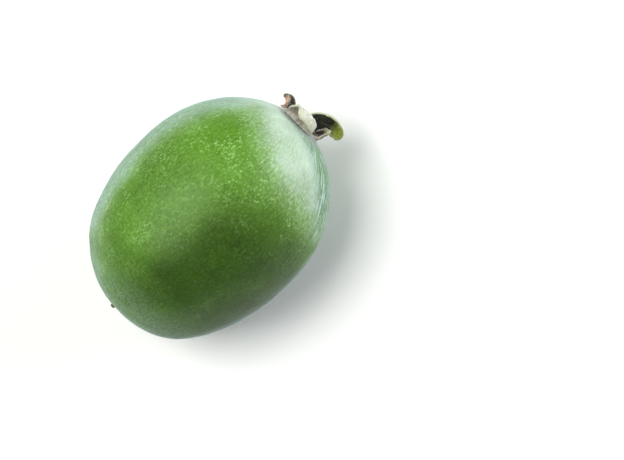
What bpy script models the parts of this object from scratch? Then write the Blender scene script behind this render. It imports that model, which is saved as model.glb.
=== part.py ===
"""A ripe feijoa fruit, picked, lying on its side on a small flat spot.

The fruit's long axis lies along X: the stem end points to -X and the calyx to +X.
The fruit, its four persistent calyx lobes, the stub of its stem and the stub of its
style are separate objects. The origin is the middle of the underside.
"""

import math

import bmesh
import bpy
from mathutils import Vector

MM = 0.001

# Driving dimensions, in millimetres.
FRUIT_LENGTH = 62.8
FRUIT_DIAMETER = 49.6
GAP = 0.3

# The fruit's outline, in millimetres or as shares of the driving dimensions.
RADIUS = FRUIT_DIAMETER / 2
WIDEST_X = 0.53 * FRUIT_LENGTH
STEM_FULLNESS = 2.2
CALYX_FULLNESS = 2.1
DIMPLE_DEPTH = 1.0
DIMPLE_RADIUS = 4.6
COLLAR_HEIGHT = 0.5
COLLAR_RADIUS = 6.4
COLLAR_SLOPE = 2.4
CUP_DEPTH = 2.2
CUP_RADIUS = 3.9
CUP_WALL = 1.4
END_SHIFT = 1.0
END_SHIFT_REACH = 9.0
FLAT_DEPTH = 0.4

# Mesh density.
FLANK_STEPS = 24
END_STEPS = 9
TURN_STEPS = 56
LOBE_COLUMNS = 10
LOBE_ROWS = 11
STUB_SIDES = 14
WELD_DISTANCE = 0.02

# The natural unevenness of the fruit: swells per unit of radius, ridges in millimetres, and
# turns in radians about the axis. A band is where ridges run, as shares of the way from the
# widest ring to an end: where they begin, how far they rise over, and how far they fade over
# before the end.
OVAL_SWELL = 0.008
OVAL_TURN = 0.5
THREE_SIDED_SWELL = 0.006
THREE_SIDED_TURN = -0.3
CALYX_RIDGE = 0.25
CALYX_RIDGES = 4
CALYX_RIDGE_TURN = 0.2
CALYX_RIDGE_BAND = (0.3, 0.4, 0.25)
STEM_RIDGE = 0.20
STEM_RIDGES = 7
STEM_RIDGE_BAND = (0.4, 0.4, 0.2)
STEM_TILT = 0.06
STEM_TILT_START = 0.55
STEM_TILT_RISE = 0.4

# Calyx lobes. Each stands on the collar at its azimuth, counted about +X from -Y towards
# +Z, at foot from the axis. facing is the way that its outer face looks. lean is the angle
# between the axis and the lobe at its foot and at its tip, and the lobe bends from one to
# the other over fold, a stretch of its length. sway is how far it has turned sideways at
# its tip, towards a growing azimuth. cup is how far its margins roll inwards, at its foot
# and at its tip, and blunt is how square its tip is. Angles are in degrees.
LOBE_FOOT_RADIUS = 4.6
LOBE_THICKNESS = 0.7
LOBE_TIP_SHARE = 0.4
SLOPE_CLEARANCE = 0.15
NARROWING_START = 0.35
WIDENING_END = 0.4
SPINE_STEPS = 24
SEPALS = {
    "sepal_large_under": dict(
        azimuth=-84, facing=-92, foot=4.9, length=9.0, foot_width=4.4, width=6.4, blunt=3.2,
        lean=(24, 58), fold=(0.2, 1.0), sway=128, cup=(14, 42),
    ),
    "sepal_small_left": dict(
        azimuth=178, facing=200, foot=5.0, length=3.6, foot_width=3.6, width=4.2, blunt=3.2,
        lean=(24, 84), fold=(0.1, 0.9), sway=-46, cup=(50, 80),
    ),
    "sepal_small_right": dict(
        azimuth=-20, facing=-24, foot=4.4, length=4.6, foot_width=3.0, width=4.4, blunt=2.4,
        lean=(38, 6), fold=(0.05, 0.8), sway=0, cup=(30, 55),
    ),
}

# The lobe that is rolled over like a brim: half_arc is its reach either way along the
# collar, skew how much longer it is towards -Y, and curl its lean at the tip, at its end
# towards -Y and at its end towards +Y. curl_span is where along its arc curl changes.
HOOD = dict(
    azimuth=82, half_arc=54, length=5.4, end_length=0.6, roundness=2.0, skew=0.5,
    lean=12, curl=(215, 50), curl_span=(-0.2, 0.62), fold=0.3,
)

# Stubs left of the stem and of the style.
STEM_RADIUS = 1.3
STEM_LENGTH = 2.2
STEM_TAPER = 0.8
STEM_LEAN = 14
STYLE_RADIUS = 0.55
STYLE_LENGTH = 2.6
STYLE_TAPER = 0.6
STYLE_HEADING = Vector((1, 0.1, 0.12))
STYLE_LIFT = 0.1
STUB_ROUNDING = 0.35


def smooth_step(t):
    """0 below 0, 1 above 1, and an S curve between."""
    t = min(max(t, 0.0), 1.0)
    return t * t * (3 - 2 * t)


def around(azimuth):
    """The unit vectors outwards and forwards at an azimuth, in degrees, about +X."""
    a = math.radians(azimuth)
    return Vector((0, -math.cos(a), math.sin(a))), Vector((0, math.sin(a), math.cos(a)))


def outline_point(angle):
    """(x, radius) on the fruit's plain outline: a superellipse, 0 at the stem and 180 at the calyx."""
    a = math.radians(angle)
    reach, fullness = WIDEST_X, STEM_FULLNESS
    if angle >= 90:
        reach, fullness = FRUIT_LENGTH - WIDEST_X, CALYX_FULLNESS
    along = abs(math.cos(a)) ** (2 / fullness) * math.copysign(reach, math.cos(a))
    return WIDEST_X - along, RADIUS * abs(math.sin(a)) ** (2 / fullness)


def angle_at(radius, fullness):
    """The angle, in degrees, from an end of this fullness at which the outline has this radius."""
    return math.degrees(math.asin((radius / RADIUS) ** (fullness / 2)))


def relief(x, radius):
    """The stem dimple, or the calyx collar and its cup, as a shift along X."""
    if x < WIDEST_X:
        return DIMPLE_DEPTH * math.exp(-((radius / DIMPLE_RADIUS) ** 2))
    collar = COLLAR_HEIGHT * smooth_step((COLLAR_RADIUS - radius) / COLLAR_SLOPE)
    cup = CUP_DEPTH * smooth_step((CUP_RADIUS - radius) / CUP_WALL)
    return collar - cup


def lobe_foot_x(radius):
    """Where a lobe's foot stands: GAP over the collar at this radius, and clear of its slope."""
    x, radius = outline_point(180 - angle_at(radius, CALYX_FULLNESS))
    return x + relief(x, radius) + GAP + SLOPE_CLEARANCE


def profile():
    """The fruit's half section from the stem's pole to the middle of the calyx cup."""
    dimple_edge = 2 * DIMPLE_RADIUS
    stem_end = [angle_at(dimple_edge * i / END_STEPS, STEM_FULLNESS) for i in range(END_STEPS)]
    first = angle_at(dimple_edge, STEM_FULLNESS)
    last = 180 - angle_at(COLLAR_RADIUS, CALYX_FULLNESS)
    flank = [first + (last - first) * i / FLANK_STEPS for i in range(FLANK_STEPS)]
    calyx_end = [
        180 - angle_at(COLLAR_RADIUS * (1 - i / END_STEPS), CALYX_FULLNESS)
        for i in range(END_STEPS + 1)
    ]
    plain = [outline_point(angle) for angle in stem_end + flank + calyx_end]
    return [(x + relief(x, radius), radius) for x, radius in plain]


def band(share, start, rise, fade):
    """0 up to start, 1 once it has risen, and 0 again at the end, share 1."""
    return smooth_step((share - start) / rise) * smooth_step((1.0 - share) / fade)


def grown(point):
    """A point of the turned fruit moved to where an uneven, natural fruit has it."""
    x, y, z = point
    radius = math.hypot(y, z)
    azimuth = math.atan2(z, -y)
    share = (x - WIDEST_X) / (WIDEST_X if x < WIDEST_X else FRUIT_LENGTH - WIDEST_X)
    oval = OVAL_SWELL * math.cos(2 * (azimuth - OVAL_TURN))
    three_sided = THREE_SIDED_SWELL * math.cos(3 * (azimuth - THREE_SIDED_TURN))
    calyx_ridges = CALYX_RIDGE * math.cos(CALYX_RIDGES * (azimuth - CALYX_RIDGE_TURN))
    stem_ridges = STEM_RIDGE * math.cos(STEM_RIDGES * azimuth)
    ridges = calyx_ridges * band(share, *CALYX_RIDGE_BAND)
    ridges += stem_ridges * band(-share, *STEM_RIDGE_BAND)
    tilt = STEM_TILT * y * smooth_step((-share - STEM_TILT_START) / STEM_TILT_RISE)
    scale = 1 + oval + three_sided + (ridges / radius if radius > 1 else 0)
    shift = END_SHIFT * math.exp(-((radius / END_SHIFT_REACH) ** 2))
    return Vector((x + tilt, y * scale + shift, z * scale))


def new_object(name, mesh, material):
    """A named, smooth-shaded object of the part's collection."""
    obj = bpy.data.objects.new(name, mesh)
    collection.objects.link(obj)
    obj.data.materials.append(material)
    obj.data.shade_smooth()
    return obj


def made_mesh(obj, name):
    """The object as a plain mesh with its modifiers applied. The object is removed."""
    graph = bpy.context.evaluated_depsgraph_get()
    mesh = bpy.data.meshes.new_from_object(obj.evaluated_get(graph))
    mesh.name = name
    bpy.data.objects.remove(obj)
    return mesh


def surface(name, colour, roughness):
    """A Principled material of one colour, in linear RGB."""
    material = bpy.data.materials.new(name)
    material.use_nodes = True
    shader = material.node_tree.nodes["Principled BSDF"]
    shader.inputs["Base Color"].default_value = (*colour, 1)
    shader.inputs["Roughness"].default_value = roughness
    shader.inputs["Metallic"].default_value = 0
    return material


def turned_fruit():
    """The fruit's half section turned about X by a Screw modifier, as a mesh."""
    points = [(x * MM, 0, radius * MM) for x, radius in profile()]
    mesh = bpy.data.meshes.new("fruit_profile")
    mesh.from_pydata(points, [(i, i + 1) for i in range(len(points) - 1)], [])
    guide = bpy.data.objects.new("fruit_profile", mesh)
    collection.objects.link(guide)
    screw = guide.modifiers.new("turn", "SCREW")
    screw.axis = "X"
    screw.steps = screw.render_steps = TURN_STEPS
    screw.use_merge_vertices = True
    screw.merge_threshold = WELD_DISTANCE * MM
    bpy.context.view_layer.update()
    return made_mesh(guide, "fruit_body")


def fruit_body(material):
    """The whole berry: turned, grown uneven, and cut flat where it rests."""
    mesh = turned_fruit()
    form = bmesh.new()
    form.from_mesh(mesh)
    bmesh.ops.remove_doubles(form, verts=form.verts, dist=WELD_DISTANCE * MM)
    for vertex in form.verts:
        vertex.co = grown(vertex.co / MM) * MM
    lowest = min(vertex.co.z for vertex in form.verts)
    cut = bmesh.ops.bisect_plane(
        form,
        geom=form.verts[:] + form.edges[:] + form.faces[:],
        plane_co=(0, 0, lowest + FLAT_DEPTH * MM),
        plane_no=(0, 0, -1),
        clear_outer=True,
    )
    rim = [e for e in cut["geom_cut"] if isinstance(e, bmesh.types.BMEdge)]
    bmesh.ops.contextual_create(form, geom=rim)
    bmesh.ops.recalc_face_normals(form, faces=form.faces)
    form.to_mesh(mesh)
    form.free()
    return new_object("fruit_body", mesh, material)


def blend(pair, t):
    """The value a share t of the way from the first of a pair to the second."""
    return pair[0] + (pair[1] - pair[0]) * t


def folded(sepal, t):
    """How much of its fold a lobe has made a share t along its length."""
    start, end = sepal["fold"]
    return smooth_step((t - start) / (end - start))


def sepal_frame(sepal, t):
    """The heading, sideways and inwards directions of a lobe a share t along its length."""
    outwards, forwards = around(sepal["facing"])
    axis = Vector((1, 0, 0))
    lean = math.radians(blend(sepal["lean"], folded(sepal, t)))
    sway = math.radians(sepal["sway"] * t)
    ahead = axis * math.cos(lean) + outwards * math.sin(lean)
    heading = ahead * math.cos(sway) + forwards * math.sin(sway)
    sideways = forwards * math.cos(sway) - ahead * math.sin(sway)
    inwards = axis * math.sin(lean) - outwards * math.cos(lean)
    return heading, sideways, inwards


def sepal_point(sepal, across, along):
    """A point of a lobe's middle surface. across runs -1 to 1, and along 0 to 1.

    The spine follows the lobe's heading from its foot on the collar, and each
    cross-section is an arc that is hollow inwards. The lobe narrows towards its tip.
    """
    outwards = around(sepal["azimuth"])[0]
    point = outwards * sepal["foot"] + Vector((lobe_foot_x(sepal["foot"]), END_SHIFT, 0))
    for i in range(SPINE_STEPS):
        heading = sepal_frame(sepal, (i + 0.5) / SPINE_STEPS * along)[0]
        point = point + heading * (sepal["length"] * along / SPINE_STEPS)
    sideways, inwards = sepal_frame(sepal, along)[1:]
    width = blend((sepal["foot_width"], sepal["width"]), smooth_step(along / WIDENING_END))
    outer_part = max(0.0, (along - NARROWING_START) / (1 - NARROWING_START))
    narrowing = (1 - LOBE_TIP_SHARE**2) * outer_part ** sepal["blunt"]
    half_width = width / 2 * math.sqrt(1 - narrowing)
    cup = math.radians(blend(sepal["cup"], smooth_step(2 * folded(sepal, along))))
    bend = cup * across
    point = point + sideways * (half_width * math.sin(bend) / cup)
    return point + inwards * (half_width * (1 - math.cos(bend)) / cup)


def hood_point(hood, across, along):
    """A point of the rolled lobe's middle surface. across runs -1 to 1, and along 0 to 1.

    The lobe rises from an arc of the collar and curls over outwards like a brim. It is
    shorter towards both ends of the arc, so its top is a dome, and it keeps its width.
    """
    across = math.sin(across * math.pi / 2)
    reach = (1 - abs(across) ** hood["roundness"]) ** (1 / hood["roundness"])
    length = hood["end_length"] + hood["length"] * reach * (1 - hood["skew"] * across)
    start, end = hood["curl_span"]
    curl = blend(hood["curl"], smooth_step((across - start) / (end - start)))
    x, radius = lobe_foot_x(LOBE_FOOT_RADIUS), LOBE_FOOT_RADIUS
    step = length * along / SPINE_STEPS
    for i in range(SPINE_STEPS):
        t = (i + 0.5) / SPINE_STEPS * along
        bend = smooth_step((t - hood["fold"]) / (1 - hood["fold"]))
        lean = math.radians(blend((hood["lean"], curl), bend))
        x += math.cos(lean) * step
        radius += math.sin(lean) * step
    aside = hood["half_arc"] * across * LOBE_FOOT_RADIUS / radius
    outwards = around(hood["azimuth"] + aside)[0]
    return outwards * radius + Vector((x, END_SHIFT, 0))


def lobe_sheet(name, point_of, shape, material):
    """A calyx lobe: a grid laid on its middle surface, given a wall by Solidify."""
    form = bmesh.new()
    bmesh.ops.create_grid(form, x_segments=LOBE_COLUMNS, y_segments=LOBE_ROWS, size=1)
    for vertex in form.verts:
        across, along = vertex.co.x, (vertex.co.y + 1) / 2
        vertex.co = point_of(shape, across, along) * MM
    mesh = bpy.data.meshes.new(name)
    form.to_mesh(mesh)
    form.free()
    lobe = new_object(name, mesh, material)
    wall = lobe.modifiers.new("wall", "SOLIDIFY")
    wall.thickness = LOBE_THICKNESS * MM
    wall.offset = 0
    wall.use_even_offset = False
    return lobe


def stub(name, foot, heading, radius, length, taper, material):
    """A short round stub: a tapered cone primitive with its edges rounded."""
    form = bmesh.new()
    bmesh.ops.create_cone(
        form,
        cap_ends=True,
        segments=STUB_SIDES,
        radius1=radius * MM,
        radius2=radius * taper * MM,
        depth=length * MM,
    )
    mesh = bpy.data.meshes.new(name)
    form.to_mesh(mesh)
    form.free()
    piece = new_object(name, mesh, material)
    piece.location = (foot + heading * (length / 2)) * MM
    piece.rotation_mode = "QUATERNION"
    piece.rotation_quaternion = heading.to_track_quat("Z", "Y")
    edges = piece.modifiers.new("rounded_edges", "BEVEL")
    edges.width = radius * taper * STUB_ROUNDING * MM
    edges.segments = 2
    edges.limit_method = "ANGLE"
    return piece


def stem_stub(material):
    """What is left of the fruit stalk, standing in the dimple of the stem end."""
    lean = math.radians(STEM_LEAN)
    heading = Vector((-math.cos(lean), 0, -math.sin(lean)))
    foot = Vector((DIMPLE_DEPTH - GAP, END_SHIFT, 0)) + heading * GAP
    return stub("stem_stub", foot, heading, STEM_RADIUS, STEM_LENGTH, STEM_TAPER, material)


def style_stub(material):
    """What is left of the style, standing in the middle of the calyx cup."""
    floor_x = FRUIT_LENGTH + COLLAR_HEIGHT - CUP_DEPTH
    foot = Vector((floor_x + GAP + STYLE_LIFT, END_SHIFT, 0))
    heading = STYLE_HEADING.normalized()
    return stub("style_stub", foot, heading, STYLE_RADIUS, STYLE_LENGTH, STYLE_TAPER, material)


def stand_on_origin(pieces):
    """Hangs the pieces on one empty, moved so that the middle of their underside is the origin."""
    bpy.context.view_layer.update()
    graph = bpy.context.evaluated_depsgraph_get()
    corners = []
    for piece in pieces:
        mesh = piece.evaluated_get(graph).to_mesh()
        corners += [piece.matrix_world @ vertex.co for vertex in mesh.vertices]
    low = [min(corner[i] for corner in corners) for i in range(3)]
    high = [max(corner[i] for corner in corners) for i in range(3)]
    holder = bpy.data.objects.new("feijoa", None)
    collection.objects.link(holder)
    for piece in pieces:
        piece.parent = holder
    holder.location = (-(low[0] + high[0]) / 2, -(low[1] + high[1]) / 2, -low[2])


for old in list(bpy.data.objects):
    bpy.data.objects.remove(old)

collection = bpy.data.collections.new("feijoa")
bpy.context.scene.collection.children.link(collection)

skin = surface("feijoa_skin", (0.14, 0.33, 0.06), 0.45)
felt = surface("calyx_felt", (0.55, 0.56, 0.45), 0.9)
dry_stalk = surface("dry_stalk", (0.20, 0.14, 0.08), 0.8)

lobes = [lobe_sheet(name, sepal_point, sepal, felt) for name, sepal in SEPALS.items()]
lobes.append(lobe_sheet("sepal_large_upper", hood_point, HOOD, felt))
stand_on_origin([fruit_body(skin), *lobes, stem_stub(dry_stalk), style_stub(dry_stalk)])
bpy.context.view_layer.update()
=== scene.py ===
"""A ripe feijoa lying on its side, its felted calyx to +X and its stem end to -X.

Shapes are worked out in millimetres in the fruit's own frame, with the stem end at x = 0
and the long axis along X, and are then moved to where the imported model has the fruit.
Azimuths are angles about +X, counted from -Y towards +Z.
"""

import math

import bpy
import numpy as np
from mathutils import Matrix, Vector


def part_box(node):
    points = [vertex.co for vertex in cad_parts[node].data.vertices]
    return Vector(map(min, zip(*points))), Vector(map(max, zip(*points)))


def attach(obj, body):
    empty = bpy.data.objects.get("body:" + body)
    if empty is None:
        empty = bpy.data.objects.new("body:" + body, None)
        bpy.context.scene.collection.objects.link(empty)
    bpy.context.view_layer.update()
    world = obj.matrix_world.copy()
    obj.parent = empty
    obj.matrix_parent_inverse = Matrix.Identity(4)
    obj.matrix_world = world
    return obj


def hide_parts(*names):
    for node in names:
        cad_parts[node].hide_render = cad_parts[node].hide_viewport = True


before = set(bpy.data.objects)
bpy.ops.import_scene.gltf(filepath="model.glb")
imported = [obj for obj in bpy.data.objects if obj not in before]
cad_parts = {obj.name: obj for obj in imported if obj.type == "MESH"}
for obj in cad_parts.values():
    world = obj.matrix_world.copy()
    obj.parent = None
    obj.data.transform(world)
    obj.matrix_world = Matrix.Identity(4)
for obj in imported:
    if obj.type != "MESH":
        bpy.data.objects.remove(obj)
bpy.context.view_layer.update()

MM = 0.001

# The berry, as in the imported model. Turns are in radians of azimuth.
FRUIT_LENGTH = 62.8
RADIUS = 24.8
WIDEST_X = 0.53 * FRUIT_LENGTH
STEM_FULLNESS, CALYX_FULLNESS = 2.2, 2.1
DIMPLE_DEPTH, DIMPLE_RADIUS = 1.0, 4.6
COLLAR_HEIGHT, COLLAR_RADIUS, COLLAR_SLOPE = 0.5, 6.4, 2.4
CUP_DEPTH, CUP_RADIUS, CUP_WALL = 2.2, 3.9, 1.4
END_SHIFT, END_SHIFT_REACH = 1.0, 9.0
FLAT_DEPTH = 0.4
OVAL_SWELL, OVAL_TURN = 0.008, 0.5
THREE_SIDED_SWELL, THREE_SIDED_TURN = 0.006, -0.3

# Ridges and the stem end's tilt come and go by share: -1 at the stem end, 0 at the widest
# place and 1 at the calyx end. A band is where they start and how soon they rise and fade.
CALYX_RIDGE, CALYX_RIDGES, CALYX_RIDGE_TURN = 0.25, 4, 0.2
CALYX_RIDGE_BAND = (0.3, 0.4, 0.25)
STEM_RIDGE, STEM_RIDGES = 0.20, 7
STEM_RIDGE_BAND = (0.4, 0.4, 0.2)
STEM_TILT, STEM_TILT_START, STEM_TILT_RISE = 0.06, 0.55, 0.4

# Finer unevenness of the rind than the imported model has: heights and wavelengths. It
# fades over the last few degrees, here in radians, before the calyx's pole. The rim of
# the flat spot is rounded.
RIND_SWELLS = ((0.06, 14.0), (0.02, 4.5), (0.010, 1.6))
SWELLS_FADE = 0.15
FLAT_ROUNDING = 0.12

# The corky scar round the stem: a raised lip round a sunk middle. Its edge wobbles by a
# share of its radius, so many times round, from a phase.
SCAR_RADIUS, SCAR_LIP, SCAR_SINK = 2.1, 0.95, 0.5
SCAR_LIP_WIDTH, SCAR_WALL = 0.45, 0.7
SCAR_WOBBLES = ((0.12, 2, 0.6), (0.05, 5, 0.0))

# Sides of the rind, as directions: the side that faces the scene's camera, round whose
# outline a pale bluish rim sheen is painted, the side darkened with painted shade, and the
# side where the bloom near the calyx breaks into streaks.
RIM_SHEEN_AXIS = (0.05, -0.50, 0.86)
PAINTED_SHADE_SIDE = (-0.24, -0.93, -0.20)
STREAKED_SIDE = (0.51, -0.37, -0.77)

# Zones of the rind's looks, each where it starts and over how much it rises or falls. They
# go by share, by facing, the cosine of the angle to a side, or by radius.
# Towards the calyx the veil is partly bloom and partly a painted highlight, and it reaches
# further back on the side with painted shade.
CALYX_BLOOM_AND_HIGHLIGHT_BY_SHARE, CALYX_BLOOM_AND_HIGHLIGHT_SKEW = (0.50, 0.40), 0.25
STEM_BLOOM_BY_SHARE = (0.45, 0.5)
# A pale bluish veil round the outline as seen from the camera is painted rim sheen.
RIM_SHEEN_BY_FACING, FAR_RIM_SHEEN_BY_FACING = (0.57, 0.56), (-0.25, 0.45)
# Painted shade darkens the rind by how it faces its side, and fades towards the calyx.
PAINTED_SHADE_BY_FACING, PAINTED_SHADE_BY_SHARE = (-0.20, 0.50), (0.66, 0.6)
STREAKS_BY_FACING = (0.22, 0.26)
FLECKS_BY_SHARE, FLECKS_BY_FACING = (0, 0.5), (0.75, 0.5)
SCAR_BY_RADIUS = (1.3 * SCAR_RADIUS, 0.45)
SCAR_STREAKS_BY_RADIUS = (15, 9)
COLLAR_BY_RADIUS = (COLLAR_RADIUS + 2.0, 3.2)
CUP_BY_RADIUS = (CUP_RADIUS + 0.2, 0.8)

# Rows of the rind from the stem's pole to the calyx's, and its columns round the axis.
DIMPLE_STEPS = 36
FLANK_STEPS = 176
COLLAR_STEPS = 46
TURN_STEPS = 360
COLLAR_ROWS_FROM = COLLAR_RADIUS + 1.2

# Calyx lobes. Angles are in degrees and lengths in millimetres. Each lobe stands on the
# collar at its azimuth and opens towards facing. lean is its angle to the axis at its foot
# and at its tip, reached over fold, a stretch of its length. sway turns it sideways, cup
# rolls its margins inwards at its foot and at its tip, blunt is how square its tip is, and
# wall is how thick it is at its foot and near its tip.
LOBE_FOOT_RADIUS = 4.6
LOBE_SINK = 0.5
SPINE_STEPS = 40
LOBE_ROWS, LOBE_COLUMNS = 84, 112
SEPALS = {
    "sepal_large_under": dict(
        azimuth=-78, facing=-92, foot=4.6, length=9.2, foot_width=6.0, width=7.0, blunt=3.2,
        lean=(24, 58), fold=(0.2, 1.0), sway=128, cup=(14, 42), wall=(1.1, 0.45), ruffle=0.22,
    ),
    "sepal_small_left": dict(
        azimuth=178, facing=206, foot=5.0, length=3.6, foot_width=4.0, width=4.4, blunt=3.2,
        lean=(24, 84), fold=(0.1, 0.9), sway=-46, cup=(70, 100), wall=(1.0, 0.5), ruffle=0.10,
    ),
    "sepal_small_right": dict(
        azimuth=-32, facing=-36, foot=4.6, length=4.8, foot_width=4.4, width=5.0, blunt=2.4,
        lean=(58, 6), fold=(0.05, 0.8), sway=0, cup=(30, 55), wall=(1.0, 0.4), ruffle=0.15,
    ),
}
HOOD = dict(
    azimuth=82, half_arc=58, length=5.7, end_length=0.6, roundness=2.0, skew=0.56,
    lean=12, curl=(225, 50), curl_span=(-0.2, 0.62), fold=0.3, wall=(1.1, 0.5), ruffle=0.16,
)
FOOT_FLARE, FOOT_FLARE_END = 0.9, 0.30

# A lobe's ruffles, fine unevenness and veins: heights and wavelengths in millimetres, and
# for the veins radians from its middle to its margin.
RUFFLE_WAVELENGTH = 3.2
FINE_HEIGHT, FINE_WAVELENGTH = 0.06, 0.9
VEIN_HEIGHT, VEIN_TURNS = 0.07, 9

# What is left of the stem, the style and the stamens.
STEM_RADIUS, STEM_LENGTH, STEM_LEAN = 0.676, 2.7, 14
STYLE_RADIUS, STYLE_LENGTH, STYLE_HEADING = 0.44, 2.8, (1, 0.1, 0.12)
STAMEN_RING, STAMEN_COUNT = 3.0, 54

# The stubs' body takes up this share of their rows and the torn end the rest.
STUB_BODY = 0.72
STUB_ROWS, STUB_COLUMNS = 34, 40

# The camera looks down on the fruit, from a little towards its near side, turned so
# that the fruit slants up to the right.
CAMERA_BACK = (0.10, -0.25, 0.96)
CAMERA_ROLL = 43.9
CAMERA_LENS = 100.0
SENSOR_WIDTH = 36.0
CAMERA_DISTANCE = 0.417
FRUIT_LEFT_OF_VIEW = 24.8 * MM
FRUIT_ABOVE_VIEW = 3.1 * MM

# Soft boxes: direction from the fruit, size in metres, power in watts, and colour.
SOFTBOX_DISTANCE = 0.8
SOFTBOXES = {
    "key_overhead": ((-0.15, 0.20, 0.97), (0.5, 0.5), 5.7, "#fffefb"),
    "key_from_behind": ((-0.17, 0.65, 0.74), (1.3, 1.3), 3.9, "#fdfeff"),
    "side_from_calyx": ((0.84, -0.35, 0.40), (0.5, 0.4), 4.6, "#fafcff"),
}
STUDIO_COLOUR, STUDIO_STRENGTH = "#f7f9fa", 0.06
FLOOR_WIDTH = 3.0

NOISE, RANGE, MIX, MATHS = (
    "ShaderNodeTexNoise", "ShaderNodeMapRange", "ShaderNodeMix", "ShaderNodeMath",
)


def smooth_step(t):
    """0 below 0, 1 above 1, and an S curve between."""
    t = np.clip(t, 0, 1)
    return t * t * (3 - 2 * t)


def rising(value, zone):
    """0 up to a zone's start, and 1 once the value is its width above that."""
    return smooth_step((value - zone[0]) / zone[1])


def falling(value, zone):
    """0 down to a zone's start, and 1 once the value is its width below that."""
    return smooth_step((zone[0] - value) / zone[1])


def band(share, start, rise, fade):
    """0 up to start, 1 once it has risen, and 0 again at the end, share 1."""
    return smooth_step((share - start) / rise) * smooth_step((1.0 - share) / fade)


def blend(pair, t):
    """The value a share t of the way from the first of a pair to the second."""
    return pair[0] + (pair[1] - pair[0]) * t


def unit(vectors):
    """Vectors made one unit long."""
    return vectors / np.maximum(np.linalg.norm(vectors, axis=-1, keepdims=True), 1e-9)


def waves(points, wavelength, seed, count=28):
    """Smooth random swells: the mean of many sine waves that run in random directions."""
    dice = np.random.default_rng(seed)
    heading = dice.normal(size=(count, 3))
    heading /= np.linalg.norm(heading, axis=1, keepdims=True)
    rate = 2 * np.pi / (wavelength * dice.uniform(0.7, 1.5, count))
    phase = dice.uniform(0, 2 * np.pi, count)
    total = np.zeros(points.shape[:-1])
    for k in range(count):
        total += np.sin(points @ heading[k] * rate[k] + phase[k])
    return total / math.sqrt(count / 2)


def angle_at(radius, fullness):
    """The angle from an end of this fullness at which the plain outline has this radius."""
    return np.arcsin((radius / RADIUS) ** (fullness / 2))


def outline_radius(angle):
    """The plain outline's radius: a superellipse, fuller at the stem end."""
    fullness = np.where(angle < np.pi / 2, STEM_FULLNESS, CALYX_FULLNESS)
    return RADIUS * np.abs(np.sin(angle)) ** (2 / fullness)


def share_at(x, at_stem):
    """How far along the fruit x is: -1 at the stem end, 0 at the widest place, 1 at the calyx."""
    return (x - WIDEST_X) / np.where(at_stem, WIDEST_X, FRUIT_LENGTH - WIDEST_X)


def rind(angle, azimuth):
    """The rind at an angle from the stem's pole, 0 to pi, and an azimuth about the axis.

    A superellipse of revolution, with the stem dimple and scar or the calyx collar and cup
    added along the axis, an oval and a three-sided swell, ridges towards both ends, and
    both ends moved a little to one side.
    """
    angle, azimuth = np.broadcast_arrays(angle, azimuth)
    at_stem = angle < np.pi / 2
    reach = np.where(at_stem, WIDEST_X, FRUIT_LENGTH - WIDEST_X)
    fullness = np.where(at_stem, STEM_FULLNESS, CALYX_FULLNESS)
    cosine = np.cos(angle)
    x = WIDEST_X - np.sign(cosine) * np.abs(cosine) ** (2 / fullness) * reach
    radius = outline_radius(angle)
    dimple = DIMPLE_DEPTH * np.exp(-((radius / DIMPLE_RADIUS) ** 2))
    wobble = sum(size * np.cos(times * azimuth + phase) for size, times, phase in SCAR_WOBBLES)
    scar_edge = SCAR_RADIUS * (1 + wobble)
    lip = -SCAR_LIP * np.exp(-(((radius - scar_edge) / SCAR_LIP_WIDTH) ** 2))
    sunk = SCAR_SINK * smooth_step((scar_edge - radius) / SCAR_WALL)
    collar = COLLAR_HEIGHT * smooth_step((COLLAR_RADIUS - radius) / COLLAR_SLOPE)
    cup = CUP_DEPTH * smooth_step((CUP_RADIUS - radius) / CUP_WALL)
    x = x + np.where(at_stem, dimple + lip + sunk, collar - cup)
    y, z = -radius * np.cos(azimuth), radius * np.sin(azimuth)
    share = share_at(x, x < WIDEST_X)
    oval = OVAL_SWELL * np.cos(2 * (azimuth - OVAL_TURN))
    three_sided = THREE_SIDED_SWELL * np.cos(3 * (azimuth - THREE_SIDED_TURN))
    calyx_ridges = CALYX_RIDGE * np.cos(CALYX_RIDGES * (azimuth - CALYX_RIDGE_TURN))
    stem_ridges = STEM_RIDGE * np.cos(STEM_RIDGES * azimuth)
    ridges = calyx_ridges * band(share, *CALYX_RIDGE_BAND)
    ridges = ridges + stem_ridges * band(-share, *STEM_RIDGE_BAND)
    tilt = STEM_TILT * y * smooth_step((-share - STEM_TILT_START) / STEM_TILT_RISE)
    scale = 1 + oval + three_sided + np.where(radius > 1, ridges / np.maximum(radius, 1), 0)
    shift = END_SHIFT * np.exp(-((radius / END_SHIFT_REACH) ** 2))
    return np.stack([x + tilt, y * scale + shift, z * scale], axis=-1)


def outward(point_of, first, second):
    """Unit normals of a surface of two parameters, from small steps of both."""
    step = 1e-4
    along = point_of(first + step, second) - point_of(first - step, second)
    around = point_of(first, second + step) - point_of(first, second - step)
    normal = np.cross(along, around)
    return normal / np.maximum(np.linalg.norm(normal, axis=-1, keepdims=True), 1e-12)


def closed_surface(grid):
    """Vertices, quads and triangles of a surface whose columns close on themselves.

    grid is rows x columns x 3. Its first and last rows are single points, the poles.
    """
    rows, columns = grid.shape[:2]
    points = spread(grid)
    ring = 1 + np.arange((rows - 2) * columns).reshape(rows - 2, columns)
    after = np.roll(ring, -1, axis=1)
    quads = np.stack([ring[:-1], after[:-1], after[1:], ring[1:]], axis=-1).reshape(-1, 4)
    last = len(points) - 1
    start = np.stack([np.zeros(columns, int), after[0], ring[0]], axis=-1)
    end = np.stack([np.full(columns, last), ring[-1], after[-1]], axis=-1)
    return points, quads, np.concatenate([start, end])


def spread(grid):
    """Values given per row and column, in the order of closed_surface's vertices."""
    return np.concatenate([grid[0, :1], grid[1:-1].reshape(-1, *grid.shape[2:]), grid[-1, :1]])


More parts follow.
